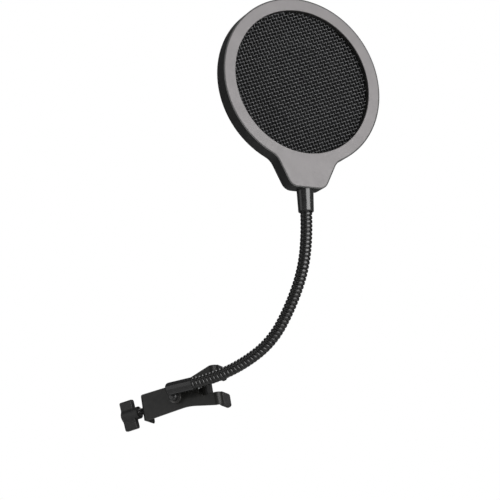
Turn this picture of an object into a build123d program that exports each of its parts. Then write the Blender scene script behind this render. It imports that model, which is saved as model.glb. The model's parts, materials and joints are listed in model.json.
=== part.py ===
"""Round metal pop filter on a bendable neck, held by a small screw clamp.

Frame: +X along the clamp screw from its knob to the fixed fingers, +Y away from the
bracket's spine into the jaw's depth, +Z up. Origin: centre of the jaw gap, on the
screw's axis. Millimetres.
"""
import os
from math import cos, hypot, pi, radians, sin

from build123d import *

os.makedirs("parts", exist_ok=True)

# ---------------------------------------------------------------- clearances
RUN = 0.05             # radial clearance of every running and threaded fit
SLIDE = 0.3            # gap between the moving jaw and the bracket
FACE_GAP = 0.05        # gap between flat faces that turn on each other
NEST = 0.1             # gap round a piece that is laid in a pocket

# ---------------------------------------------------------------- clamp bracket
STEEL = 1.8            # thickness of the bracket's steel
BRACKET_LENGTH = 63.0  # outside of the end flange to outside of the fingers
JAW_DEPTH = 13.8       # spine's front face to the flange's and fingers' free edges
SCREW_DEPTH = 6.8      # spine's front face to the screw's axis
FLANGE_WIDTH = 19.2    # spine's width at the end flange
WAIST_WIDTH = 17.8     # narrowest width of the spine
WAIST_FROM_FLANGE = 37.0
WAIST_ROUND = 40.0
FORK_WIDTH = 28.6      # over both fingers
NOTCH_WIDTH = 10.8     # between the two fingers
NOTCH_LENGTH = 16.0    # notch's root to the outside of the fingers
NOTCH_CORNER = 3.6
FLANGE_BEND = 3.0      # outside radius of the bend at the end flange
FINGER_BEND = 4.4      # outside radius of the bend at the fingers
FLANGE_CORNER = 2.6
BLANK_CORNER = 2.4     # rounding of the blank's corners at the end flange
FINGER_CORNER = 2.0

# ---------------------------------------------------------------- jaws
JAW_GAP = 7.3          # between the two rubber faces, as set
RUBBER = 1.5           # thickness of the rubber on each jaw face
CAP_SKIN = 0.8         # thickness of the rubber caps elsewhere
CAP_ROUND = 0.55       # rounding of the caps' long corners
CAP_LENGTH = 10.0      # cap's mouth to the finger's free edge
JAW_THICK = 2.6        # moving jaw's plate, without its pad
JAW_WIDTH = 16.6
JAW_CORNER = 1.2
JAW_BACKSET = 1.8      # jaw's far edge short of the bracket's free edges
HEAD_PASS = 0.8        # gap between the jaw's groove and the foot screw's head
JAW_BOSS_R = 3.1
JAW_BOSS_LENGTH = 2.6
TIP_SEAT = 3.8         # depth of the screw tip's seat from the boss's end

# ---------------------------------------------------------------- clamp screw and knob
SCREW_R = 2.5
TIP_R = 1.9
TIP_NECK_R = 1.3
TIP_CHAMFER = 0.4
CLIP_THICK = 1.0
CLIP_WIDTH = 5.0
CLIP_WALL = 0.7        # jaw boss left behind the clip
KNOB_SPAN = 21.2       # over the tips of the two wings
WING_THICK = 5.0
WING_ROUND = 1.6       # corners of the wings' tips, seen along the screw
KNOB_THICK = 9.8       # wings along the screw
KNOB_ANGLE = 10.0      # wings' lean about the screw from straight up, degrees
KNOB_ROUND = 0.6
HUB_R = 4.5
HUB_BLEND = 3.0        # hollow radius between hub and wing
COLLAR_LENGTH = 3.6    # hub's length past the wings
COLLAR_TO_FLANGE = 5.5
HEX_FLATS = 6.4
HEX_THICK = 3.0
NUT_R = 3.6
NUT_BARREL = 2.4       # threaded bush's length past the flange's inner face

# ---------------------------------------------------------------- neck
NECK_R = 4.0
LINK_LENGTH = 26.5
NECK_BENDS = (10.2, 14.0, 26.2, 9.9, 15.8, 8.8)
NECK_LEAN = 3.5        # lean of the neck's plane away from the bracket, degrees
BALL_R = 0.8 * NECK_R
BALL_GAP = 0.3         # gap between a link's ball and the socket it turns in
STEM_R = 0.5 * NECK_R  # neck between a link's ball and its tube
LINK_GAP = 1.8         # bare stem between two links' tubes
NECK_SEAT = 5.0        # length of neck held inside each ferrule

FOOT_FROM_FLANGE = 29.2
FOOT_HEIGHT = -0.4     # swivel's axis above the bracket's centre line
FOOT_BOSS_R = 3.3
FOOT_BOSS_LENGTH = 6.4 # spine's front face to the boss's domed end
FOOT_BOSS_ROUND = 1.4
FOOT_FERRULE_R = NECK_R + 0.5
FOOT_STANDOFF = FOOT_FERRULE_R + 4.1  # spine's front face to the foot ferrule's axis
FOOT_RISE = 4.4        # foot ferrule's axis above the swivel's axis
FOOT_OVERHANG = 1.6    # foot ferrule's closed end behind the swivel's axis
FOOT_ANGLE = -4.7      # direction of the foot ferrule from +X towards +Z, degrees
FOOT_FERRULE_LENGTH = 21.3
FOOT_END_ROUND = 1.8
WASHER_R = 4.2
WASHER_THICK = 2.4
FOOT_SCREW_R = 2.0
FOOT_SCREW_GRIP = 2.4  # foot screw's length inside the boss
FOOT_HEAD_R = 3.6
FOOT_HEAD_THICK = 1.0
FOOT_HEAD_ROUND = 0.4

HEAD_FERRULE_LENGTH = 15.6
HEAD_FERRULE_R = NECK_R + 1.8  # against the tail
HEAD_FERRULE_END_R = NECK_R + 1.35
STUD_R = 3.0
STUD_LENGTH = 11.0

# ---------------------------------------------------------------- round head
RING_R = 60.0          # grey face plate's outer radius
FACE_BAND = 7.9        # face plate's width round the opening
OPENING_R = RING_R - FACE_BAND
TAIL_REACH = 16.0      # ring's edge to the tail's flat end
TAIL_LENGTH = RING_R + TAIL_REACH
TAIL_HALF = 12.5       # half width of the tail's flat end before its corners
TAIL_FLARE = 0.5       # side's run outwards for each millimetre towards the ring
TAIL_CORNER = 7.0
TAIL_THROAT = 12.0     # radius of the hollow where the tail meets the ring
FACE_THICK = 0.8
FACE_CHAMFER = 0.2
FACE_PROUD = 0.25      # how far the face plate stands out of its frame
RIM = 0.8              # frame's width showing round the face plate
FRAME_DEPTH = 12.0     # face plate's front to the rear frame's back
PARTING = 5.9          # face plate's front to the frames' joint and the neck's axis
BACK_ROUND = 1.3
HEAD_TURN = 35.7       # turn of the face about the neck's end, degrees
SCREEN_LAP = 3.1       # screens' hold in the frames past the opening
SCREEN_R = OPENING_R + SCREEN_LAP
SCREEN_THICK = 1.5     # woven wire cloth over its knuckles
SCREEN_SETBACK = 4.1   # face plate's front to the front screen
SPACER_THICK = 1.4     # also the foam's thickness between the screens
SPACER_WIDTH = 2.6
SOCKET_R = 4.3
SOCKET_LENGTH = 13.0
SOCKET_END_WALL = 1.2
FRAME_SCREW_R = 1.0
FRAME_SCREW_HEAD_R = 1.7
FRAME_SCREW_LENGTH = 9.0
FRAME_SCREW_CIRCLE = RING_R - 2.5
FRAME_SCREW_COUNT = 6
TAIL_SCREW_SPREAD = 13.0
TAIL_SCREW_FROM_CENTRE = TAIL_LENGTH - 13.5

# ---------------------------------------------------------------- places that follow
fixed_face_x = JAW_GAP / 2
finger_inner_x = fixed_face_x + RUBBER
finger_outer_x = finger_inner_x + STEEL
flange_outer_x = finger_outer_x - BRACKET_LENGTH
flange_inner_x = flange_outer_x + STEEL
spine_front_y = -SCREW_DEPTH
spine_back_y = spine_front_y + STEEL
free_edge_y = spine_front_y + JAW_DEPTH
jaw_face_x = -JAW_GAP / 2
jaw_front_x = jaw_face_x - RUBBER
jaw_rear_x = jaw_front_x - JAW_THICK
boss_end_x = jaw_rear_x - JAW_BOSS_LENGTH
clip_x = boss_end_x + CLIP_WALL
jaw_bottom_y = spine_back_y + SLIDE
jaw_edge_y = free_edge_y - JAW_BACKSET
foot_head_y = spine_back_y + FACE_GAP + FOOT_HEAD_THICK
groove_top_y = foot_head_y + HEAD_PASS
collar_x = flange_outer_x - COLLAR_TO_FLANGE
knob_inner_x = collar_x - COLLAR_LENGTH
knob_end_x = knob_inner_x - KNOB_THICK
foot_x = flange_outer_x + FOOT_FROM_FLANGE


def write(builder, label):
    """Label a finished piece and write it as its own STEP file."""
    builder.part.label = label
    export_step(builder.part, f"parts/{label}.step")


def rod(start_x, end_x, radius, mode=Mode.ADD):
    """A cylinder on the screw's axis from one x to another, in the part being built."""
    with BuildSketch(Plane.YZ.offset(start_x)) as section:
        Circle(radius)
    extrude(section.sketch, amount=end_x - start_x, mode=mode)


# ================================================================ clamp bracket
with BuildPart() as clamp_bracket:
    # bent strip seen from above: outer outline less the same outline one steel thickness in
    with BuildSketch(Plane.XY.offset(-FORK_WIDTH / 2)):
        with BuildLine():
            FilletPolyline(
                (flange_outer_x, free_edge_y),
                (flange_outer_x, spine_front_y),
                (finger_outer_x, spine_front_y),
                (finger_outer_x, free_edge_y),
                radius=[FLANGE_BEND, FINGER_BEND],
            )
            Line((finger_outer_x, free_edge_y), (flange_outer_x, free_edge_y))
        make_face()
        with BuildLine():
            FilletPolyline(
                (flange_inner_x, free_edge_y),
                (flange_inner_x, spine_back_y),
                (finger_inner_x, spine_back_y),
                (finger_inner_x, free_edge_y),
                radius=[FLANGE_BEND - STEEL, FINGER_BEND - STEEL],
            )
            Line((finger_inner_x, free_edge_y), (flange_inner_x, free_edge_y))
        make_face(mode=Mode.SUBTRACT)
    extrude(amount=FORK_WIDTH)
    # outline of the blank: a tapering waist that flares into the fork
    with BuildSketch(Plane.XZ.offset(-free_edge_y - STEEL)):
        with BuildLine():
            Polyline(
                (flange_outer_x - STEEL, 0),
                (flange_outer_x - STEEL, FLANGE_WIDTH / 2),
                (flange_outer_x + FLANGE_BEND, FLANGE_WIDTH / 2),
                (flange_outer_x + WAIST_FROM_FLANGE, WAIST_WIDTH / 2),
                (finger_outer_x - FINGER_BEND, FORK_WIDTH / 2),
                (finger_outer_x + STEEL, FORK_WIDTH / 2),
                (finger_outer_x + STEEL, 0),
                close=True,
            )
        make_face()
        waist_x = flange_outer_x + WAIST_FROM_FLANGE
        fillet(vertices().sort_by(lambda v: abs(v.X - waist_x))[0], radius=WAIST_ROUND)
        mirror(about=Plane.XZ)
    extrude(amount=JAW_DEPTH + 2 * STEEL, mode=Mode.INTERSECT)
    # notch between the fingers
    with BuildSketch(Plane.XZ.offset(-free_edge_y - STEEL)):
        with Locations((finger_outer_x + STEEL - (NOTCH_LENGTH + STEEL) / 2, 0)):
            Rectangle(NOTCH_LENGTH + STEEL, NOTCH_WIDTH)
        fillet(vertices().group_by(Axis.X)[0], radius=NOTCH_CORNER)
    extrude(amount=JAW_DEPTH + 2 * STEEL, mode=Mode.SUBTRACT)
    # rounded corners of the flange and of each finger
    flange_ends = edges().filter_by(Axis.X).group_by(Axis.Y)[-1].filter_by_position(
        Axis.X, flange_outer_x - STEEL, flange_inner_x + STEEL
    )
    fillet(flange_ends, radius=FLANGE_CORNER)
    # rounded corners of the blank beside the flange's bend
    with BuildSketch(Plane.XZ.offset(-free_edge_y - STEEL)):
        with Locations((flange_outer_x + FLANGE_BEND, 0)):
            RectangleRounded(2 * FLANGE_BEND, FLANGE_WIDTH, BLANK_CORNER)
        with Locations((flange_outer_x + FLANGE_BEND + BRACKET_LENGTH / 2, 0)):
            Rectangle(BRACKET_LENGTH, FORK_WIDTH + STEEL)
    extrude(amount=JAW_DEPTH + 2 * STEEL, mode=Mode.INTERSECT)
    # hole for the threaded bush
    rod(flange_outer_x - STEEL, flange_inner_x + STEEL, NUT_R, Mode.SUBTRACT)
    # hole for the foot screw
    with BuildSketch(Plane.XZ.offset(-spine_back_y)):
        with Locations((foot_x, FOOT_HEIGHT)):
            Circle(FOOT_SCREW_R + RUN)
    extrude(amount=STEEL, mode=Mode.SUBTRACT)
write(clamp_bracket, "clamp_bracket")

# ================================================================ rubber caps on the fingers
cap_top_z = FORK_WIDTH / 2 + CAP_SKIN
cap_bottom_z = NOTCH_WIDTH / 2 - CAP_SKIN
cap_thick = finger_outer_x + CAP_SKIN - fixed_face_x
# the corner's rounding runs on round the cap's end, so it keeps inside half the thickness
cap_corner = min(FINGER_CORNER, 0.49 * cap_thick)
for side, label in ((1, "upper_finger_cap"), (-1, "lower_finger_cap")):
    with BuildPart() as finger_cap:
        with BuildSketch(Plane.XY.offset(side * (cap_top_z + cap_bottom_z) / 2)):
            with Locations(
                (
                    (fixed_face_x + finger_outer_x + CAP_SKIN) / 2,
                    free_edge_y + (CAP_SKIN - CAP_LENGTH) / 2,
                )
            ):
                RectangleRounded(cap_thick, CAP_LENGTH + CAP_SKIN, CAP_ROUND)
        extrude(amount=(cap_top_z - cap_bottom_z) / 2, both=True)
        fillet(edges().filter_by(Axis.X).group_by(Axis.Y)[-1], radius=cap_corner)
        add(clamp_bracket.part, mode=Mode.SUBTRACT)
    write(finger_cap, label)

# ================================================================ moving jaw
def clip_outline(gap):
    """Horseshoe's outer outline on the jaw boss, from below the screw to the boss's edge."""
    with Locations(((JAW_BOSS_R - TIP_R) / 2, 0)):
        Rectangle(JAW_BOSS_R + TIP_R + 2 * gap, CLIP_WIDTH + 2 * gap)


with BuildPart() as moving_jaw:
    with BuildSketch(Plane.YZ.offset(jaw_rear_x)):
        with Locations(((jaw_bottom_y + jaw_edge_y) / 2, 0)):
            RectangleRounded(jaw_edge_y - jaw_bottom_y, JAW_WIDTH, JAW_CORNER)
    extrude(amount=JAW_THICK)
    rod(boss_end_x, jaw_rear_x, JAW_BOSS_R)
    # groove that lets the jaw pass over the foot screw's head
    with BuildSketch(Plane.YZ.offset(jaw_rear_x)):
        with Locations(((jaw_bottom_y + groove_top_y) / 2 - SLIDE, FOOT_HEIGHT)):
            Rectangle(groove_top_y - jaw_bottom_y + 2 * SLIDE, 2 * (FOOT_HEAD_R + HEAD_PASS))
    extrude(amount=JAW_THICK, mode=Mode.SUBTRACT)
    # seat for the screw's tip and the slot for its clip
    rod(boss_end_x, boss_end_x + TIP_SEAT, TIP_R + RUN, Mode.SUBTRACT)
    with BuildSketch(Plane.YZ.offset(clip_x)) as slot:
        clip_outline(NEST)
    extrude(slot.sketch, amount=CLIP_THICK, mode=Mode.SUBTRACT)
write(moving_jaw, "moving_jaw")

with BuildPart() as screw_clip:
    with BuildSketch(Plane.YZ.offset(clip_x)):
        with Locations(((JAW_BOSS_R - TIP_R) / 2, 0)):
            Rectangle(JAW_BOSS_R + TIP_R, CLIP_WIDTH)
        Circle(TIP_NECK_R + RUN, mode=Mode.SUBTRACT)
        with Locations((-TIP_R, 0)):
            Rectangle(2 * TIP_R, 2 * (TIP_NECK_R + RUN), mode=Mode.SUBTRACT)
    extrude(amount=CLIP_THICK)
write(screw_clip, "screw_clip")

with BuildPart() as jaw_pad:
    with BuildSketch(Plane.YZ.offset(jaw_front_x)):
        with Locations(((groove_top_y + jaw_edge_y) / 2, 0)):
            RectangleRounded(jaw_edge_y - groove_top_y, JAW_WIDTH, JAW_CORNER)
    extrude(amount=RUBBER)
write(jaw_pad, "jaw_pad")

# ================================================================ threaded bush, screw and knob
with BuildPart() as clamp_nut:
    rod(flange_outer_x, flange_inner_x + NUT_BARREL, NUT_R)
    rod(flange_outer_x, flange_inner_x + NUT_BARREL, SCREW_R + RUN, Mode.SUBTRACT)
write(clamp_nut, "clamp_nut")

knob_plane = Plane(
    origin=(knob_end_x, 0, 0),
    x_dir=(0, -sin(radians(KNOB_ANGLE)), cos(radians(KNOB_ANGLE))),
    z_dir=(1, 0, 0),
)
tip_end_x = boss_end_x + TIP_SEAT - SLIDE
with BuildPart() as clamp_screw:
    with BuildSketch(knob_plane):
        RegularPolygon(HEX_FLATS / 2, 6, major_radius=False)
    extrude(amount=HEX_THICK)
    rod(knob_end_x + HEX_THICK, boss_end_x - FACE_GAP, SCREW_R)
    rod(boss_end_x - FACE_GAP, clip_x - FACE_GAP, TIP_R)
    rod(clip_x - FACE_GAP, clip_x + CLIP_THICK + FACE_GAP, TIP_NECK_R)
    rod(clip_x + CLIP_THICK + FACE_GAP, tip_end_x, TIP_R)
    chamfer(faces().sort_by(Axis.X)[-1].edges(), length=TIP_CHAMFER)
write(clamp_screw, "clamp_screw")

with BuildPart() as knob:
    with BuildSketch(knob_plane):
        RectangleRounded(KNOB_SPAN, WING_THICK, WING_ROUND)
        Circle(HUB_R)
        meeting = vertices().filter_by(lambda v: abs(v.center().length - HUB_R) < NEST)
        fillet(meeting, radius=HUB_BLEND)
    extrude(amount=KNOB_THICK)
    fillet(edges().group_by(Axis.X)[0], radius=KNOB_ROUND)
    fillet(edges().group_by(Axis.X)[-1], radius=KNOB_ROUND)
    rod(knob_inner_x - KNOB_ROUND, collar_x, HUB_R - RUN)
    with BuildSketch(knob_plane):
        RegularPolygon(HEX_FLATS / 2, 6, major_radius=False)
    extrude(amount=HEX_THICK, mode=Mode.SUBTRACT)
    rod(knob_end_x + HEX_THICK, collar_x, SCREW_R, Mode.SUBTRACT)
write(knob, "knob")

# ================================================================ foot of the neck
foot_axis_y = spine_front_y - FOOT_STANDOFF
foot_back_y = spine_front_y - WASHER_THICK - FACE_GAP
foot_plane = Plane(
    origin=(foot_x, foot_axis_y, FOOT_HEIGHT),
    x_dir=(cos(radians(FOOT_ANGLE)), 0, sin(radians(FOOT_ANGLE))),
    z_dir=(0, -1, 0),
)
foot_along = foot_plane.x_dir
ferrule_start = Plane(
    origin=foot_plane.from_local_coords((-FOOT_OVERHANG, FOOT_RISE, 0)),
    x_dir=(0, 1, 0),
    z_dir=foot_along,
)

boss_length = FOOT_BOSS_LENGTH - WASHER_THICK - FACE_GAP

with BuildPart() as foot_ferrule:
    with BuildSketch(ferrule_start):
        Circle(FOOT_FERRULE_R)
    extrude(amount=FOOT_FERRULE_LENGTH)
    fillet(edges().sort_by(Axis.X)[0], radius=FOOT_END_ROUND)
    # domed boss that the foot screw enters from behind
    with BuildSketch(Plane.XY.offset(FOOT_HEIGHT)):
        with Locations((foot_x + FOOT_BOSS_R / 2, foot_back_y - boss_length / 2)):
            Rectangle(FOOT_BOSS_R, boss_length)
        fillet(vertices().group_by(Axis.Y)[0].sort_by(Axis.X)[-1], radius=FOOT_BOSS_ROUND)
    revolve(axis=Axis((foot_x, 0, FOOT_HEIGHT), (0, 1, 0)))
    with BuildSketch(ferrule_start.offset(FOOT_FERRULE_LENGTH - NECK_SEAT)):
        Circle(NECK_R + RUN)
    extrude(amount=NECK_SEAT, mode=Mode.SUBTRACT)
    with BuildSketch(Plane.XZ.offset(-foot_back_y)):
        with Locations((foot_x, FOOT_HEIGHT)):
            Circle(FOOT_SCREW_R + RUN)
    extrude(amount=FOOT_SCREW_GRIP + SLIDE, mode=Mode.SUBTRACT)
write(foot_ferrule, "foot_ferrule")

with BuildPart() as foot_washer:
    with BuildSketch(Plane.XZ.offset(-spine_front_y)):
        with Locations((foot_x, FOOT_HEIGHT)):
            Circle(WASHER_R)
            Circle(FOOT_SCREW_R + RUN, mode=Mode.SUBTRACT)
    extrude(amount=WASHER_THICK)
write(foot_washer, "foot_washer")

with BuildPart() as foot_screw:
    with BuildSketch(Plane.XZ.offset(-spine_back_y - FACE_GAP)):
        with Locations((foot_x, FOOT_HEIGHT)):
            Circle(FOOT_SCREW_R)
    extrude(amount=STEEL + WASHER_THICK + 2 * FACE_GAP + FOOT_SCREW_GRIP)
    with BuildSketch(Plane.XZ.offset(-spine_back_y - FACE_GAP)):
        with Locations((foot_x, FOOT_HEIGHT)):
            Circle(FOOT_HEAD_R)
    extrude(amount=-FOOT_HEAD_THICK)
    fillet(edges().group_by(Axis.Y)[-1], radius=FOOT_HEAD_ROUND)
write(foot_screw, "foot_screw")

# ================================================================ bendable neck
neck_plane = foot_plane.rotated((NECK_LEAN, 0, 0))


def next_station(station, bend, length):
    """The plane at the end of an arc that starts in a plane and turns towards its y."""
    turn = radians(bend)
    radius = length / turn
    return Plane(
        origin=station.from_local_coords((0, radius * (1 - cos(turn)), radius * sin(turn))),
        x_dir=station.x_dir,
        z_dir=station.z_dir * cos(turn) + station.y_dir * sin(turn),
    )


# each station has z along the neck, y towards the inside of its bend
neck_start = ferrule_start.origin + foot_along * FOOT_FERRULE_LENGTH
stations = [Plane(origin=neck_start, x_dir=neck_plane.z_dir * -1, z_dir=foot_along)]
for bend in NECK_BENDS:
    stations.append(next_station(stations[-1], bend, LINK_LENGTH))

for number, bend in enumerate(NECK_BENDS, start=1):
    station = stations[number - 1]
    centre = station.from_local_coords((0, LINK_LENGTH / radians(bend), 0))
    is_first = number == 1
    is_last = number == len(NECK_BENDS)
    bare = 0 if is_first else LINK_GAP / LINK_LENGTH
    tube_start = station if is_first else next_station(station, bend * bare, LINK_GAP)
    with BuildPart() as neck_link:
        with BuildSketch(tube_start):
            Circle(NECK_R)
        revolve(axis=Axis(centre, station.x_dir * -1), revolution_arc=bend * (1 - bare))
        if is_first:
            with BuildSketch(station):
                Circle(NECK_R)
            extrude(amount=-NECK_SEAT)
        else:
            with BuildSketch(station):
                Circle(STEM_R)
            extrude(amount=LINK_GAP + STEM_R)
            with Locations(station.location):
                Sphere(BALL_R)
        if is_last:
            with BuildSketch(stations[number]):
                Circle(NECK_R)
            extrude(amount=NECK_SEAT)
        else:
            with BuildSketch(stations[number]):
                Circle(BALL_R + BALL_GAP)
            extrude(amount=-BALL_R - BALL_GAP, mode=Mode.SUBTRACT)
    write(neck_link, f"neck_link_{number}")

# ================================================================ round head
neck_end = stations[-1]
turn = radians(HEAD_TURN)
head_normal = neck_end.y_dir * -cos(turn) + neck_end.x_dir * -sin(turn)
head_up = neck_end.z_dir
tail_end = neck_end.origin + head_up * HEAD_FERRULE_LENGTH
head = Plane(
    origin=tail_end + head_up * (TAIL_LENGTH + RIM) + head_normal * PARTING,
    x_dir=head_up.cross(head_normal),
    z_dir=head_normal,
)

with BuildSketch() as plate_outline:
    Circle(RING_R)
    with BuildLine():
        Polyline(
            (TAIL_HALF, -TAIL_LENGTH),
            (TAIL_HALF + TAIL_FLARE * TAIL_LENGTH / 2, -TAIL_LENGTH / 2),
            (-TAIL_HALF - TAIL_FLARE * TAIL_LENGTH / 2, -TAIL_LENGTH / 2),
            (-TAIL_HALF, -TAIL_LENGTH),
            close=True,
        )
    make_face()
    fillet(vertices().group_by(Axis.Y)[0], radius=TAIL_CORNER)
    throat = vertices().filter_by(lambda v: v.Y < 0 and abs(hypot(v.X, v.Y) - RING_R) < 0.01)
    fillet(throat, radius=TAIL_THROAT)


def frame_half(top, bottom):
    """The frame's outline as a slab between two depths behind the face plate's front."""
    with BuildSketch(head.offset(-bottom)) as section:
        add(plate_outline.sketch)
        offset(amount=RIM)
    extrude(section.sketch, amount=bottom - top)


def bore(radius, top, bottom):
    """Clear a round hole in the head between two depths behind the face plate's front."""
    with BuildSketch(head.offset(-bottom)) as section:
        Circle(radius)
    extrude(section.sketch, amount=bottom - top, mode=Mode.SUBTRACT)


socket_axis = Plane(
    origin=head.from_local_coords((0, -TAIL_LENGTH - RIM, -PARTING)),
    x_dir=head.x_dir,
    z_dir=head.y_dir,
)


def neck_pocket():
    """Clear the tail for the threaded socket and for the ferrule's stud."""
    with BuildSketch(socket_axis) as mouth:
        Circle(STUD_R + RUN)
    extrude(mouth.sketch, amount=SOCKET_END_WALL, mode=Mode.SUBTRACT)
    with BuildSketch(socket_axis.offset(SOCKET_END_WALL)) as pocket:
        Circle(SOCKET_R + NEST)
    extrude(pocket.sketch, amount=SOCKET_LENGTH + NEST, mode=Mode.SUBTRACT)


def frame_screw_places():
    """Centres of the frame's screws in the head's own x and y."""
    step = 2 * pi / FRAME_SCREW_COUNT
    ring = [
        (FRAME_SCREW_CIRCLE * sin(step * i), FRAME_SCREW_CIRCLE * cos(step * i))
        for i in range(FRAME_SCREW_COUNT)
        if i != FRAME_SCREW_COUNT // 2
    ]
    tail = [(side * TAIL_SCREW_SPREAD, -TAIL_SCREW_FROM_CENTRE) for side in (-1, 1)]
    return ring + tail


def screw_cylinders(radius, depth, length, mode):
    """Round bars at every screw place, from a depth towards the front."""
    with BuildSketch(head.offset(-depth)) as section:
        with Locations(*frame_screw_places()):
            Circle(radius)
    extrude(section.sketch, amount=length, mode=mode)


def screw_heads(grow, mode):
    """Countersunk cones at every screw place, flush with the rear frame's back."""
    with BuildSketch(head.offset(-FRAME_DEPTH)) as section:
        with Locations(*frame_screw_places()):
            Circle(FRAME_SCREW_HEAD_R + grow)
    extrude(section.sketch, amount=FRAME_SCREW_HEAD_R - FRAME_SCREW_R, taper=45, mode=mode)


with BuildPart() as face_ring:
    with BuildSketch(head.offset(-FACE_THICK)):
        add(plate_outline.sketch)
        Circle(OPENING_R, mode=Mode.SUBTRACT)
    extrude(amount=FACE_THICK)
    chamfer(faces().filter_by(lambda f: f.normal_at().dot(head.z_dir) > 0.99).edges(), FACE_CHAMFER)
write(face_ring, "face_ring")

screens_top = SCREEN_SETBACK
spacer_top = screens_top + SCREEN_THICK
spacer_bottom = spacer_top + SPACER_THICK
screens_bottom = spacer_bottom + SCREEN_THICK

with BuildPart() as front_frame:
    frame_half(FACE_PROUD, PARTING)
    with BuildSketch(head.offset(-FACE_THICK)):
        add(plate_outline.sketch)
    extrude(amount=FACE_THICK, mode=Mode.SUBTRACT)
    bore(OPENING_R, 0, PARTING)
    bore(SCREEN_R + NEST, screens_top, PARTING)
    neck_pocket()
    screw_cylinders(
        FRAME_SCREW_R + RUN,
        PARTING,
        FRAME_SCREW_LENGTH - FRAME_DEPTH + PARTING + SLIDE,
        Mode.SUBTRACT,
    )
write(front_frame, "front_frame")

with BuildPart() as rear_frame:
    frame_half(PARTING, FRAME_DEPTH)
    back = faces().filter_by(lambda f: f.normal_at().dot(head.z_dir) < -0.99)
    fillet(back.edges(), radius=BACK_ROUND)
    bore(OPENING_R, PARTING, FRAME_DEPTH)
    bore(SCREEN_R + NEST, PARTING, screens_bottom)
    neck_pocket()
    screw_cylinders(FRAME_SCREW_R + RUN, FRAME_DEPTH, FRAME_DEPTH - PARTING, Mode.SUBTRACT)
    screw_heads(RUN, Mode.SUBTRACT)
write(rear_frame, "rear_frame")

with BuildPart() as frame_screws:
    screw_cylinders(FRAME_SCREW_R, FRAME_DEPTH, FRAME_SCREW_LENGTH, Mode.ADD)
    screw_heads(0, Mode.ADD)
write(frame_screws, "frame_screws")

for label, depth in (("front_screen", spacer_top), ("rear_screen", screens_bottom)):
    with BuildPart() as screen:
        with BuildSketch(head.offset(-depth)):
            Circle(SCREEN_R)
        extrude(amount=SCREEN_THICK)
    write(screen, label)

with BuildPart() as screen_spacer:
    with BuildSketch(head.offset(-spacer_bottom)):
        Circle(SCREEN_R)
        Circle(SCREEN_R - SPACER_WIDTH, mode=Mode.SUBTRACT)
    extrude(amount=SPACER_THICK)
write(screen_spacer, "screen_spacer")

with BuildPart() as foam_layer:
    with BuildSketch(head.offset(-spacer_bottom)):
        Circle(SCREEN_R - SPACER_WIDTH - NEST)
    extrude(amount=SPACER_THICK)
write(foam_layer, "foam_layer")

with BuildPart() as neck_socket:
    with BuildSketch(socket_axis.offset(SOCKET_END_WALL)):
        Circle(SOCKET_R)
        Circle(STUD_R + RUN, mode=Mode.SUBTRACT)
    extrude(amount=SOCKET_LENGTH)
write(neck_socket, "neck_socket")

with BuildPart() as head_ferrule:
    with BuildSketch(socket_axis):
        Circle(HEAD_FERRULE_R)
    with BuildSketch(socket_axis.offset(-HEAD_FERRULE_LENGTH)):
        Circle(HEAD_FERRULE_END_R)
    loft()
    with BuildSketch(socket_axis):
        Circle(STUD_R)
    extrude(amount=STUD_LENGTH)
    with BuildSketch(socket_axis.offset(-HEAD_FERRULE_LENGTH)):
        Circle(NECK_R + RUN)
    extrude(amount=NECK_SEAT, mode=Mode.SUBTRACT)
write(head_ferrule, "head_ferrule")
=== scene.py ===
import json
import math

import bpy
import numpy as np
from mathutils import Matrix, Vector


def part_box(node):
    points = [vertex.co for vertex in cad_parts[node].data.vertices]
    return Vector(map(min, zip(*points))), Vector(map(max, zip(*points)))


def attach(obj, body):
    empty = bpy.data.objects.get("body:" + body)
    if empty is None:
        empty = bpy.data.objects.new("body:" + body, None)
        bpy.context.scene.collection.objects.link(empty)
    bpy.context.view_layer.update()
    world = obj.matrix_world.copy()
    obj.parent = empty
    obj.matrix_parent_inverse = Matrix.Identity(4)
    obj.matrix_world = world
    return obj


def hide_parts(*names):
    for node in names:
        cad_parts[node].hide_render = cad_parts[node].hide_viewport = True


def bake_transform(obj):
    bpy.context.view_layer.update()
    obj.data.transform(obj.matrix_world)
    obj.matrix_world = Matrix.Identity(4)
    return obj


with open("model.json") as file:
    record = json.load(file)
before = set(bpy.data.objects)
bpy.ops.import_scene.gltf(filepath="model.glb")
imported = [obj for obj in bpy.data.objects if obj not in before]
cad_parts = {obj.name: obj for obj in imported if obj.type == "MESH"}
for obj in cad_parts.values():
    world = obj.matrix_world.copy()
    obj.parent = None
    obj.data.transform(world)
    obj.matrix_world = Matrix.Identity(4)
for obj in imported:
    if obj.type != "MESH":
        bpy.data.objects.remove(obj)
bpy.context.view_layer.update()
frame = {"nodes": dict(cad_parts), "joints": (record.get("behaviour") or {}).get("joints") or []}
print("frame loaded:", len(frame["nodes"]), "nodes")

jointOf = {j["name"]: j for j in frame["joints"]}
scene = bpy.context.scene
mm = 0.001

# helpers that make meshes from whole arrays of points


def unit(v):
    v = np.asarray(v, float)
    return v / np.linalg.norm(v)


def addMesh(name, points, faces, material):
    # faces are turned over together when the closed volume comes out negative
    tri = np.array([f[:3] for f in faces])
    a, b, c = (points[tri[:, i]] for i in range(3))
    if np.einsum("ij,ij->i", a - points.mean(0), np.cross(b - a, c - a)).sum() < 0:
        faces = [f[::-1] for f in faces]
    mesh = bpy.data.meshes.new(name)
    mesh.from_pydata(points.tolist(), [], faces)
    mesh.polygons.foreach_set("use_smooth", [True] * len(mesh.polygons))
    mesh.materials.append(material)
    mesh.update()
    piece = bpy.data.objects.new(name, mesh)
    scene.collection.objects.link(piece)
    return piece


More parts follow.
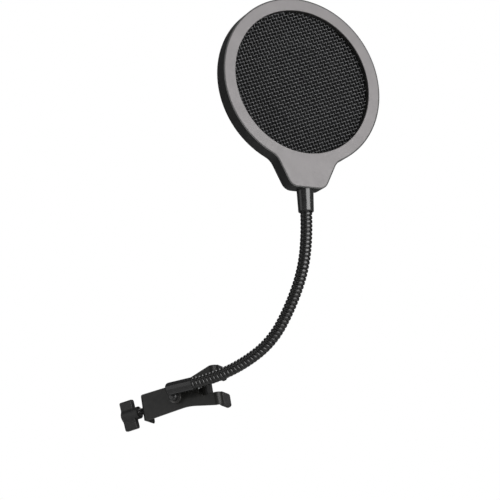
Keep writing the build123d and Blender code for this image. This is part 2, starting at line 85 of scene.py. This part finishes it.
def tubeFaces(rows, around, count=1):
    # quads between neighbouring rings and one fan at each end of every tube
    first = np.arange(count) * (rows * around + 2)
    ring = np.arange(rows * around).reshape(rows, around)
    side = np.stack(
        [ring[:-1], ring[1:], np.roll(ring[1:], -1, 1), np.roll(ring[:-1], -1, 1)], -1
    ).reshape(-1, 4)
    pole = rows * around
    start = np.stack([np.full(around, pole), ring[0], np.roll(ring[0], -1)], -1)
    end = np.stack([np.full(around, pole + 1), np.roll(ring[-1], -1), ring[-1]], -1)
    quads = (side[None] + first[:, None, None]).reshape(-1, 4)
    fans = (np.concatenate([start, end])[None] + first[:, None, None]).reshape(-1, 3)
    return quads.tolist() + fans.tolist()


def tubePoints(grid):
    # grid is (tubes, rows, around, 3); each tube is followed by its two end centres
    ends = grid[:, [0, -1]].mean(2)
    flat = grid.reshape(len(grid), -1, 3)
    return np.concatenate([flat, ends], 1).reshape(-1, 3)


def meshPoints(node):
    mesh = frame["nodes"][node].data
    points = np.empty(len(mesh.vertices) * 3)
    mesh.vertices.foreach_get("co", points)
    return points.reshape(-1, 3)


def lathe(origin, axis, side, profile, around, ripple):
    # r(h, a) turned about the axis: point = origin + axis*h + r*(side*cos a + other*sin a);
    # ripple takes the radii, heights and angles and gives back changed radii and heights
    radius, height = np.array(profile).T
    angle = np.arange(around) / around * 2 * math.pi
    other = np.cross(axis, side)
    r, a = np.meshgrid(radius, angle, indexing="ij")
    h = np.repeat(height[:, None], around, 1)
    r, h = ripple(r, h, a)
    spoke = np.cos(a)[..., None] * side + np.sin(a)[..., None] * other
    return origin + h[..., None] * axis + r[..., None] * spoke


# finishes, each made of noise in the object's own coordinates


def finish(
    name,
    dark,
    light,
    rough,
    grain,
    bump,
    metal=0.0,
    coat=0.0,
    mottle=0.004,
    specular=0.5,
    scratch=0.0,
):
    # colour runs from dark to light over a slow noise of size mottle; roughness swings between
    # the two rough values on a middling noise; height is a fine noise of size grain, with
    # long thin scratches laid over it where scratch is above nought
    material = bpy.data.materials.new(name)
    material.use_nodes = True
    nodes, links = material.node_tree.nodes, material.node_tree.links
    shader = nodes["Principled BSDF"]
    shader.inputs["Metallic"].default_value = metal
    shader.inputs["Specular IOR Level"].default_value = specular
    shader.inputs["Coat Weight"].default_value = coat
    shader.inputs["Coat Roughness"].default_value = 0.12
    where = nodes.new("ShaderNodeTexCoord")

    def noise(size, detail=3.0, stretch=None):
        pattern = nodes.new("ShaderNodeTexNoise")
        pattern.inputs["Scale"].default_value = 1 / size
        pattern.inputs["Detail"].default_value = detail
        source = where.outputs["Object"]
        if stretch:
            squeeze = nodes.new("ShaderNodeMapping")
            squeeze.inputs["Scale"].default_value = stretch
            squeeze.inputs["Rotation"].default_value = (0.4, 0.2, 0.7)
            links.new(source, squeeze.inputs["Vector"])
            source = squeeze.outputs["Vector"]
        links.new(source, pattern.inputs["Vector"])
        return pattern.outputs["Fac"]

    tint = nodes.new("ShaderNodeValToRGB")
    tint.color_ramp.elements[0].position = 0.35
    tint.color_ramp.elements[0].color = (*dark, 1)
    tint.color_ramp.elements[1].position = 0.68
    tint.color_ramp.elements[1].color = (*light, 1)
    links.new(noise(mottle), tint.inputs["Fac"])
    links.new(tint.outputs["Color"], shader.inputs["Base Color"])

    swing = nodes.new("ShaderNodeMapRange")
    swing.inputs["From Min"].default_value = 0.3
    swing.inputs["From Max"].default_value = 0.7
    swing.inputs["To Min"].default_value = rough[0]
    swing.inputs["To Max"].default_value = rough[1]
    links.new(noise(mottle * 0.45, 5.0), swing.inputs["Value"])
    links.new(swing.outputs["Result"], shader.inputs["Roughness"])

    relief = nodes.new("ShaderNodeBump")
    relief.inputs["Strength"].default_value = bump
    relief.inputs["Distance"].default_value = grain * 0.5
    height = noise(grain, 4.0)
    if scratch:
        lines = noise(grain * 2, 2.0, (1.0, 14.0, 5.0))
        both = nodes.new("ShaderNodeMath")
        both.operation = "MULTIPLY_ADD"
        links.new(lines, both.inputs[0])
        both.inputs[1].default_value = scratch
        links.new(height, both.inputs[2])
        height = both.outputs[0]
    links.new(height, relief.inputs["Height"])
    links.new(relief.outputs["Normal"], shader.inputs["Normal"])
    return material


powderBlack = finish(
    "powderBlack", (0.0065, 0.0064, 0.0056), (0.0105, 0.0103, 0.0092),
    (0.32, 0.42), 0.40 * mm, 0.12, coat=0.1, specular=0.4,
)
framePlastic = finish(
    "framePlastic", (0.013, 0.013, 0.0125), (0.019, 0.019, 0.018),
    (0.42, 0.52), 0.22 * mm, 0.30, specular=0.4,
)
faceGrey = finish(
    "faceGrey", (0.148, 0.140, 0.141), (0.163, 0.154, 0.155),
    (0.40, 0.50), 0.25 * mm, 0.18, mottle=0.012, specular=0.4,
)
gooseneckBlack = finish(
    "gooseneckBlack", (0.0035, 0.0035, 0.0032), (0.007, 0.0068, 0.0064),
    (0.22, 0.30), 0.35 * mm, 0.02,
)
ferruleBlack = finish(
    "ferruleBlack", (0.012, 0.012, 0.012), (0.018, 0.018, 0.018),
    (0.17, 0.22), 0.60 * mm, 0.01,
)
wireBlack = finish(
    "wireBlack", (0.010, 0.0102, 0.011), (0.018, 0.0183, 0.020),
    (0.20, 0.32), 0.25 * mm, 0.05, coat=0.3,
)
foamBlack = finish(
    "foamBlack", (0.004, 0.004, 0.004), (0.010, 0.010, 0.010),
    (0.90, 1.00), 0.55 * mm, 1.0, specular=0.2,
)
rubberBlack = finish(
    "rubberBlack", (0.012, 0.012, 0.012), (0.019, 0.018, 0.018),
    (0.60, 0.78), 0.18 * mm, 0.30, specular=0.35,
)
knobPlastic = finish(
    "knobPlastic", (0.009, 0.009, 0.009), (0.014, 0.014, 0.014),
    (0.38, 0.50), 0.24 * mm, 0.35,
)
screwBlack = finish(
    "screwBlack", (0.035, 0.035, 0.036), (0.070, 0.068, 0.066),
    (0.28, 0.42), 0.30 * mm, 0.25, metal=0.9, scratch=0.6,
)
brightSteel = finish(
    "brightSteel", (0.48, 0.47, 0.46), (0.62, 0.61, 0.60),
    (0.18, 0.32), 0.40 * mm, 0.15, metal=1.0, scratch=0.8,
)
washerGrey = finish(
    "washerGrey", (0.10, 0.098, 0.094), (0.15, 0.147, 0.142),
    (0.36, 0.48), 0.40 * mm, 0.08, metal=0.8,
)
brass = finish(
    "brass", (0.55, 0.38, 0.16), (0.66, 0.47, 0.22),
    (0.25, 0.38), 0.30 * mm, 0.15, metal=1.0, scratch=0.6,
)
finishOfNode = {
    "clamp_bracket": powderBlack, "moving_jaw": powderBlack,
    "clamp_nut": brightSteel, "foot_washer": washerGrey, "screw_clip": brightSteel,
    "upper_finger_cap": rubberBlack, "lower_finger_cap": rubberBlack, "jaw_pad": rubberBlack,
    "knob": knobPlastic, "foot_ferrule": ferruleBlack, "neck_socket": brass,
    "front_frame": framePlastic, "rear_frame": framePlastic, "face_ring": faceGrey,
    "screen_spacer": framePlastic,
}
for node, material in finishOfNode.items():
    kept = frame["nodes"][node]
    kept.data.materials.clear()
    kept.data.materials.append(material)
print("finishes made:", len(bpy.data.materials))

# the neck's centre line, six arcs end to end through the five joints

neck = {
    "linkLength": 26.5 * mm,
    "bends": (10.2, 14.0, 26.2, 9.9, 15.8, 8.8),  # degrees turned along each link
    "seat": 4.6 * mm,         # length inside each ferrule
    "coreRadius": 3.38 * mm,  # bottom of the grooves
    "ribHeight": 0.72 * mm,
    "ribShare": 0.84,         # of the pitch that a rib fills, the rest being the groove
    "ribPitch": 2.8 * mm,
    "aroundRib": 16,          # samples along one rib
    "around": 40,
    "blendShare": 0.42,       # of a link, each side of a joint
    "runIn": 12 * mm,         # straight line tabled before the first link
    "runOut": 40 * mm,        # and after the last
    "tableRows": 12001,
}
link = neck["linkLength"]
neckLength = link * len(neck["bends"])
acrossNeck = unit(jointOf["neck_bend_1"]["axis"])
insideAtTwo = unit(jointOf["neck_bend_2"]["axis"])
alongAtTwo = np.cross(acrossNeck, insideAtTwo)

# the angle is the running sum of curvature, and the place the running sum of the direction
fine = np.linspace(-neck["runIn"], neckLength + neck["runOut"], neck["tableRows"])
turnPerMetre = np.radians(neck["bends"]) / link
linkAt = np.clip(np.floor(fine / link).astype(int), 0, len(neck["bends"]) - 1)
curving = np.where((fine < 0) | (fine > neckLength), 0, turnPerMetre[linkAt])
step = fine[1] - fine[0]
fineAngle = np.concatenate([[0], np.cumsum((curving[1:] + curving[:-1]) / 2 * step)])
fineAngle -= np.interp(2 * link, fine, fineAngle)
fineWay = np.cos(fineAngle)[:, None] * alongAtTwo + np.sin(fineAngle)[:, None] * insideAtTwo
finePlace = np.concatenate([[[0, 0, 0]], np.cumsum((fineWay[1:] + fineWay[:-1]) / 2 * step, 0)])


def onLine(s, table):
    return np.stack([np.interp(s, fine, table[:, i]) for i in range(3)], -1)


finePlace += np.array(jointOf["neck_bend_2"]["pos_m"]) - onLine(2 * link, finePlace)


def neckAt(s):
    # place, direction and the way to the inside of the bend at length s along the neck
    way = onLine(s, fineWay)
    way = way / np.linalg.norm(way, axis=-1, keepdims=True)
    return onLine(s, finePlace), way, np.cross(way, acrossNeck)


misfit = max(
    np.linalg.norm(neckAt(i * link)[0] - np.array(jointOf[f"neck_bend_{i}"]["pos_m"]))
    for i in range(1, 6)
)
print(f"neck line: {neckLength:.4f} m, joints within {misfit * 1000:.3f} mm")

# camera

shot = {
    "aim": (0.0513, -0.0114, 0.0841),
    "distance": 1.2075,
    "azimuth": 25.19,
    "elevation": -21.78,
    "roll": -10.07,
    "lens": 124.86,
    "sensor": 36.0,
}
az, el, roll = (math.radians(shot[k]) for k in ("azimuth", "elevation", "roll"))
toViewer = Vector((math.sin(az) * math.cos(el), -math.cos(az) * math.cos(el), math.sin(el)))
levelRight = Vector((math.cos(az), math.sin(az), 0))
levelUp = toViewer.cross(levelRight)
viewRight = levelRight * math.cos(roll) + levelUp * math.sin(roll)
viewUp = toViewer.cross(viewRight)
cameraData = bpy.data.cameras.new("camera")
cameraData.lens = shot["lens"]
cameraData.sensor_width = shot["sensor"]
cameraData.clip_start = 0.05
cameraData.clip_end = 50
camera = bpy.data.objects.new("camera", cameraData)
scene.collection.objects.link(camera)
camera.matrix_world = Matrix.Translation(
    Vector(shot["aim"]) + toViewer * shot["distance"]
) @ Matrix((viewRight, viewUp, toViewer)).transposed().to_4x4()
scene.camera = camera

# the neck's ribbed tube, one length for each joint and one for each end


def ribbedSleeve(name, fromS, toS):
    # flat-topped strip wound into a spiral: r = core + rib*sqrt(1 - p^4), where p runs from -1
    # to 1 across each rib and the rib climbs one pitch for every turn round the tube
    rows = int(round((toS - fromS) / neck["ribPitch"] * neck["aroundRib"])) + 1
    s = np.linspace(fromS, toS, rows)
    a = np.arange(neck["around"]) / neck["around"] * 2 * math.pi
    sGrid, aGrid = np.meshgrid(s, a, indexing="ij")
    phase = (sGrid / neck["ribPitch"] - aGrid / (2 * math.pi)) % 1 * 2 - 1
    phase = phase / neck["ribShare"]
    r = neck["coreRadius"] + neck["ribHeight"] * np.sqrt(np.clip(1 - phase**4, 0, 1))
    place, way, inside = neckAt(s)
    spoke = np.cos(aGrid)[..., None] * acrossNeck + np.sin(aGrid)[..., None] * inside[:, None]
    grid = place[:, None] + r[..., None] * spoke
    return addMesh(
        name, tubePoints(grid[None]), tubeFaces(rows, neck["around"]), gooseneckBlack
    )


footEnd = ribbedSleeve("neck_sleeve_foot", -neck["seat"], link / 2)
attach(footEnd, "foot")
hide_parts("neck_link_1")
for i in range(1, 6):
    sleeve = ribbedSleeve(f"neck_sleeve_{i}", (i - 0.5) * link, (i + 0.5) * link)
    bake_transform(sleeve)
    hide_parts(f"neck_link_{i}", f"neck_link_{i + 1}")
headEnd = ribbedSleeve("neck_sleeve_head", neckLength - link / 2, neckLength + neck["seat"])
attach(headEnd, "head")
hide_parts("neck_link_6")
print("ribbed neck made")

# the head's own axes and the places of its two screens

headUp = neckAt(neckLength)[1]
screenLow, screenHigh = (np.array(c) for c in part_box("front_screen"))
screenCentre = (screenLow + screenHigh) / 2
screenPoints = meshPoints("front_screen") - screenCentre
headNormal = np.linalg.svd(screenPoints, full_matrices=False)[2][2]
headNormal = headNormal * np.sign(headNormal @ np.array(toViewer))
headRight = np.cross(headUp, headNormal)
screenRadius = np.linalg.norm(screenPoints, axis=1).max()
rearLow, rearHigh = (np.array(c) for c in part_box("rear_screen"))
rearCentre = (rearLow + rearHigh) / 2

# woven screens, two crossing sets of wires in each

weave = {
    "pitch": 2.39 * mm,
    "wireRadius": 0.37 * mm,
    "swing": 0.37 * mm,      # wire's rise and fall about the cloth's middle
    "turn": 21.0,            # degrees from the head's own right
    "dome": 1.1 * mm,        # front cloth's rise at its middle
    "pressRise": 0.5 * mm,   # ring pressed into the front cloth
    "pressRadius": 27.0 * mm,
    "pressWidth": 5.0 * mm,
    "edge": 0.5 * mm,        # wires stop this far inside the groove
    "samples": 4,            # along a wire, for each crossing
    "around": 6,
}


def wireSet(name, centre, dome, crosswise, screen):
    # wire j lies at offset (j + 1/2)*pitch; its height is swing*(-1)^j*sin(pi*s/pitch), and the
    # wires that cross it take the opposite sign, so they pass over and under in turn; the whole
    # cloth is lifted by dome*(1 - (distance/radius)^2) and by a bell-shaped ring
    turn = math.radians(weave["turn"] + (90 if crosswise else 0))
    along = headRight * math.cos(turn) + headUp * math.sin(turn)
    across = np.cross(headNormal, along)
    reach = screenRadius - weave["edge"]
    half = int(reach / weave["pitch"])
    number = np.arange(-half, half)
    offset = (number + 0.5) * weave["pitch"]
    chord = np.sqrt(np.clip(reach**2 - offset**2, 0, None))
    rows = int(2 * reach / weave["pitch"] * weave["samples"]) + 1
    s = chord[:, None] * np.linspace(-1, 1, rows)[None]
    k = math.pi / weave["pitch"]
    sign = np.where(number % 2 == 0, 1.0, -1.0)[:, None] * (-1 if crosswise else 1)
    height = weave["swing"] * sign * np.sin(k * s)
    slope = weave["swing"] * sign * k * np.cos(k * s)
    far = (s**2 + offset[:, None] ** 2) / screenRadius**2
    ring = (np.sqrt(far) * screenRadius - weave["pressRadius"]) / weave["pressWidth"]
    press = weave["pressRise"] * np.exp(-(ring**2)) * (dome > 0)
    height = height + dome * (1 - far) + press
    way = along + slope[..., None] * headNormal
    way = way / np.linalg.norm(way, axis=-1, keepdims=True)
    lift = np.cross(way, across)
    a = np.arange(weave["around"]) / weave["around"] * 2 * math.pi
    line = (
        centre
        + s[..., None] * along
        + offset[:, None, None] * across
        + height[..., None] * headNormal
    )
    wall = (
        np.cos(a)[:, None] * across + np.sin(a)[:, None] * lift[:, :, None]
    ) * weave["wireRadius"]
    grid = line[:, :, None] + wall
    piece = addMesh(
        name, tubePoints(grid), tubeFaces(rows, weave["around"], len(number)), wireBlack
    )
    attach(piece, "head")
    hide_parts(screen)


wireSet("front_screen_warp", screenCentre, weave["dome"], False, "front_screen")
wireSet("front_screen_weft", screenCentre, weave["dome"], True, "front_screen")
wireSet("rear_screen_warp", rearCentre, 0.0, False, "rear_screen")
wireSet("rear_screen_weft", rearCentre, 0.0, True, "rear_screen")
print("woven screens made")

# foam between the screens

foam = {"cell": 1.6 * mm, "depth": 0.16 * mm, "rings": 90, "around": 240, "round": 0.5 * mm}
foamPoints = meshPoints("foam_layer")
foamLow, foamHigh = (np.array(c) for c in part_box("foam_layer"))
foamCentre = (foamLow + foamHigh) / 2
foamRadius = np.linalg.norm(foamPoints - foamCentre, axis=1).max() - 0.1 * mm
foamHalf = np.ptp((foamPoints - foamCentre) @ headNormal) / 2


def foamSheet():
    # one profile from the front's middle round the edge to the back's middle, and both faces
    # dented by two crossing waves of the foam's cell size
    rim = foamRadius - foam["round"]
    flat = np.sqrt(np.linspace(0.0004, 1, foam["rings"])) * rim
    bend = np.linspace(0, math.pi, 9)[1:-1]
    radius = np.concatenate([flat, rim + foam["round"] * np.sin(bend), flat[::-1]])
    height = np.concatenate(
        [np.full(len(flat), foamHalf), foamHalf * np.cos(bend), np.full(len(flat), -foamHalf)]
    )

    def dents(r, h, a):
        x, y = r * np.cos(a), r * np.sin(a)
        k = 2 * math.pi / foam["cell"]
        wave = np.sin(k * x + np.sin(k * 0.37 * y)) * np.sin(k * y + np.sin(k * 0.31 * x))
        fade = np.clip((rim - r) / (2 * foam["cell"]), 0, 1)
        return r, h * (1 - foam["depth"] / foamHalf * (0.5 + 0.5 * wave) * fade)

    profile = np.stack([radius, height], -1)
    return lathe(foamCentre, headNormal, headRight, profile, foam["around"], dents)


foamGrid = foamSheet()
foamDisc = addMesh(
    "foam_disc", tubePoints(foamGrid[None]), tubeFaces(len(foamGrid), foam["around"]), foamBlack
)
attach(foamDisc, "head")
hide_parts("foam_layer")
print("foam made")

# ferrule between the neck and the head

ferrule = {
    "length": 15.6 * mm,
    "endRadius": 5.35 * mm,
    "tailRadius": 5.8 * mm,
    "bore": 4.12 * mm,
    "lip": 0.55 * mm,
    "stud": 2.95 * mm,
    "studLength": 11.0 * mm,
    "studPitch": 1.0 * mm,
    "around": 72,
}


def roundedStep(fromPoint, corner, toPoint, count=6):
    # a curve that leaves one point for the corner and arrives at the other from it
    t = np.linspace(0, 1, count)[:, None]
    p, c, q = (np.array(v) for v in (fromPoint, corner, toPoint))
    return (p * (1 - t) ** 2 + c * 2 * t * (1 - t) + q * t**2).tolist()


def ferrulePiece():
    # turned sleeve: bore, rounded mouth, long slight taper, and a threaded stud past the tail
    f = ferrule
    lip, mouth = f["lip"], f["endRadius"]
    profile = [[f["bore"], neck["seat"]]]
    profile += roundedStep([f["bore"], lip], [f["bore"], 0], [f["bore"] + lip, 0])
    profile += roundedStep([mouth - lip, 0], [mouth, 0], [mouth, lip])
    taper = np.linspace(0, 1, 12)[1:-1, None]
    start, end = np.array([mouth, lip]), np.array([f["tailRadius"], f["length"] - lip])
    profile += (start * (1 - taper) + end * taper).tolist()
    tail = f["tailRadius"]
    profile += roundedStep(
        [tail, f["length"] - lip], [tail, f["length"]], [tail - 0.3 * lip, f["length"]]
    )
    profile += [[f["stud"], f["length"]]]
    along = np.linspace(0.02, 1, 90)[:, None] * f["studLength"] + f["length"]
    profile += np.concatenate([np.full_like(along, f["stud"]), along], -1).tolist()

    def thread(r, h, a):
        wave = np.abs((h / f["studPitch"] - a / (2 * math.pi)) % 1 - 0.5) * 2
        onStud = h > f["length"] + 0.2 * mm
        return np.where(onStud, r - 0.45 * mm * wave, r), h

    origin = neckAt(neckLength)[0]
    return lathe(origin, headUp, acrossNeck, profile, f["around"], thread)


ferruleGrid = ferrulePiece()
headFerrule = addMesh(
    "head_ferrule_turned",
    tubePoints(ferruleGrid[None]),
    tubeFaces(len(ferruleGrid), ferrule["around"]),
    ferruleBlack,
)
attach(headFerrule, "head")
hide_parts("head_ferrule")
print("head ferrule made")

# clamp screw with its hexagon and thread

clampScrew = {
    "crest": 2.5 * mm,
    "root": 2.06 * mm,
    "pitch": 0.8 * mm,
    "hexFlats": 6.36 * mm,
    "hexThick": 3.0 * mm,
    "knobLean": 10.0,        # degrees, as the knob's wings lean
    "threadFrom": 13.9 * mm,  # from the knob's outer end, inside the hub
    "tip": 1.9 * mm,
    "tipNeck": 1.3 * mm,
    "rowsPerTurn": 10,
    "around": 48,
}
screwLow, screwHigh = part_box("clamp_screw")
jawLow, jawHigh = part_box("moving_jaw")
clipLow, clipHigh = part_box("screw_clip")


def clampScrewPiece():
    # r(x) steps from the hexagon to the shank, thread, tip and clip's groove; on the thread
    # r = root + (crest - root)*|2p - 1|, p being the share of a pitch climbed at that angle
    c = clampScrew
    length = screwHigh.x - screwLow.x
    threadEnd = jawLow.x - screwLow.x - 0.2 * mm
    clipFrom, clipTo = clipLow.x - screwLow.x - 0.05 * mm, clipHigh.x - screwLow.x + 0.05 * mm
    hexRadius, chamfer = c["hexFlats"] / 2, 0.35 * mm
    turns = (threadEnd - c["threadFrom"]) / c["pitch"]
    threadX = np.linspace(c["threadFrom"], threadEnd, int(turns * c["rowsPerTurn"]))
    threadRows = np.stack([np.full_like(threadX, c["crest"]), threadX], -1).tolist()
    profile = [
        [hexRadius - chamfer, 0], [hexRadius, chamfer], [hexRadius, c["hexThick"]],
        [c["crest"], c["hexThick"]], [c["crest"], c["threadFrom"] - 0.1 * mm],
        *threadRows,
        [c["crest"] - 0.3 * mm, threadEnd + 0.15 * mm], [c["tip"], threadEnd + 0.15 * mm],
        [c["tip"], clipFrom], [c["tipNeck"], clipFrom], [c["tipNeck"], clipTo],
        [c["tip"], clipTo], [c["tip"], length - chamfer], [c["tip"] - chamfer, length],
    ]

    def shape(r, h, a):
        # the hexagon's corners stand where its flats meet, every sixty degrees
        facet = math.pi / 3
        hexed = r / np.cos((a + facet / 2) % facet - facet / 2)
        p = (h / c["pitch"] - a / (2 * math.pi)) % 1
        wave = c["root"] + (c["crest"] - c["root"]) * np.abs(2 * p - 1)
        onThread = (h >= c["threadFrom"]) & (h <= threadEnd)
        onHex = (h <= c["hexThick"] + 0.001 * mm) & (r > c["crest"] + 0.01 * mm)
        return np.where(onHex, hexed, np.where(onThread, wave, r)), h

    lean = math.radians(c["knobLean"])
    flat = np.array([0, -math.sin(lean), math.cos(lean)])
    origin = np.array([screwLow.x, 0, 0])
    return lathe(origin, np.array([1.0, 0, 0]), flat, profile, c["around"], shape)


screwGrid = clampScrewPiece()
screwPiece = addMesh(
    "clamp_screw_threaded",
    tubePoints(screwGrid[None]),
    tubeFaces(len(screwGrid), clampScrew["around"]),
    screwBlack,
)
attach(screwPiece, "screw")
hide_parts("clamp_screw")
print("clamp screw made")

# cross-headed screws behind the head and inside the clamp

crossHead = {"frameRadius": 1.7 * mm, "frameShank": 1.0 * mm, "frameLength": 9.0 * mm,
             "circle": 57.5 * mm, "places": 6, "tailSpread": 13.0 * mm, "tailFrom": 62.5 * mm,
             "footRadius": 3.6 * mm, "footShank": 2.0 * mm, "footThick": 1.0 * mm,
             "frameArm": (2.1 * mm, 0.62 * mm, 0.6 * mm),  # cross's length, width and depth
             "footArm": (4.2 * mm, 1.0 * mm, 0.75 * mm),
             "around": 64}


def crossHeaded(origin, axis, side, outline, armLength, armWidth, depth):
    # the top is a disc sunk by depth where a point lies within either arm of a cross; walls
    # slope over a fifth of the arm's width; the outline then runs down the head and shank
    topRadius = outline[0][0]
    top = np.linspace(0.02, 1, 26)[:, None] * topRadius
    profile = np.concatenate([np.concatenate([top, np.zeros_like(top)], -1), outline[1:]])

    def sink(r, h, a):
        x, y = np.abs(r * np.cos(a)), np.abs(r * np.sin(a))
        small, large = np.minimum(x, y), np.maximum(x, y)
        wall = 0.2 * armWidth
        inArm = np.clip((armWidth / 2 - small) / wall, 0, 1)
        inReach = np.clip((armLength / 2 - large) / wall, 0, 1)
        return r, np.where(h > -0.5 * 1e-6, h - depth * inArm * inReach, h)

    return lathe(origin, axis, side, profile, crossHead["around"], sink)


c = crossHead
frameOutline = [
    [c["frameRadius"], 0], [c["frameShank"], c["frameShank"] - c["frameRadius"]],
    [c["frameShank"], -c["frameLength"]],
]
stepAngle = 2 * math.pi / c["places"]
places = [
    (c["circle"] * math.sin(stepAngle * i), c["circle"] * math.cos(stepAngle * i))
    for i in range(c["places"]) if i != c["places"] // 2
]
places += [(-c["tailSpread"], -c["tailFrom"]), (c["tailSpread"], -c["tailFrom"])]
backPoints = (meshPoints("rear_frame") - screenCentre) @ headNormal
backPlane = screenCentre + headNormal * backPoints.min()
screwGrids = np.stack([
    crossHeaded(
        backPlane + headRight * x + headUp * y, -headNormal, headUp, frameOutline,
        *c["frameArm"],
    )
    for x, y in places
])
frameScrews = addMesh(
    "frame_screws_crossed",
    tubePoints(screwGrids),
    tubeFaces(screwGrids.shape[1], c["around"], len(places)),
    screwBlack,
)
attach(frameScrews, "head")
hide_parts("frame_screws")

footLow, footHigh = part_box("foot_screw")
rounding = 0.4 * mm
footOutline = [
    [c["footRadius"] - rounding, 0], [c["footRadius"] - 0.12 * mm, -0.12 * mm],
    [c["footRadius"], -rounding], [c["footRadius"], -c["footThick"]],
    [c["footShank"], -c["footThick"]], [c["footShank"], footLow.y - footHigh.y],
]
footTop = np.array([(footLow.x + footHigh.x) / 2, footHigh.y, (footLow.z + footHigh.z) / 2])
footGrid = crossHeaded(
    footTop, np.array([0, 1.0, 0]), np.array([1.0, 0, 0]), footOutline,
    *c["footArm"],
)
footScrew = addMesh(
    "foot_screw_crossed", tubePoints(footGrid[None]), tubeFaces(len(footGrid), c["around"]),
    screwBlack,
)
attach(footScrew, "foot")
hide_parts("foot_screw")
print("cross-headed screws made")

# floor, world and lights

studio = {
    "floorDepth": 0.46,
    "floorSize": 6.0,
    "floorColour": (0.86, 0.86, 0.86),
    "skyLight": 0.10,
    "centre": (0.05, -0.01, 0.09),
}
half = studio["floorSize"] / 2
floorMesh = bpy.data.meshes.new("floor")
floorMesh.from_pydata(
    [(-half, -half, -studio["floorDepth"]), (half, -half, -studio["floorDepth"]),
     (half, half, -studio["floorDepth"]), (-half, half, -studio["floorDepth"])],
    [], [(0, 1, 2, 3)],
)
floor = bpy.data.objects.new("floor", floorMesh)
scene.collection.objects.link(floor)
floorMaterial = bpy.data.materials.new("floorPale")
floorMaterial.use_nodes = True
floorShader = floorMaterial.node_tree.nodes["Principled BSDF"]
floorShader.inputs["Base Color"].default_value = (*studio["floorColour"], 1)
floorShader.inputs["Roughness"].default_value = 0.85
floorMesh.materials.append(floorMaterial)

world = bpy.data.worlds.new("studioWorld")
scene.world = world
world.use_nodes = True
sky, skyLinks = world.node_tree.nodes, world.node_tree.links
sky.clear()
skyOut = sky.new("ShaderNodeOutputWorld")
skyMix = sky.new("ShaderNodeMixShader")
seen = sky.new("ShaderNodeBackground")
seen.inputs["Color"].default_value = (1, 1, 1, 1)
seen.inputs["Strength"].default_value = 1.0
cast = sky.new("ShaderNodeBackground")
cast.inputs["Color"].default_value = (0.97, 0.985, 1, 1)
cast.inputs["Strength"].default_value = studio["skyLight"]
ray = sky.new("ShaderNodeLightPath")
skyLinks.new(ray.outputs["Is Camera Ray"], skyMix.inputs["Fac"])
skyLinks.new(cast.outputs["Background"], skyMix.inputs[1])
skyLinks.new(seen.outputs["Background"], skyMix.inputs[2])
skyLinks.new(skyMix.outputs["Shader"], skyOut.inputs["Surface"])


def softbox(name, right, up, near, size, power):
    # place is given in the camera's own right, up and towards-viewer directions, in metres
    centre = Vector(studio["centre"])
    data = bpy.data.lights.new(name, "AREA")
    data.shape = "RECTANGLE"
    data.size, data.size_y = size
    data.energy = power
    lamp = bpy.data.objects.new(name, data)
    scene.collection.objects.link(lamp)
    lamp.location = centre + viewRight * right + viewUp * up + toViewer * near
    lamp.rotation_euler = (lamp.location - centre).to_track_quat("Z", "Y").to_euler()


softbox("keyRight", 0.88, 0.20, 1.09, (1.3, 1.4), 44)
softbox("overhead", -0.1, 1.4, 0.25, (1.2, 0.8), 6)
softbox("fillLeft", -1.35, 0.1, 0.45, (0.8, 1.4), 3)
softbox("rimBack", 0.3, 0.9, -1.2, (1.2, 0.8), 6)
scene.view_settings.view_transform = "Standard"
scene.view_settings.look = "None"
print("studio made")
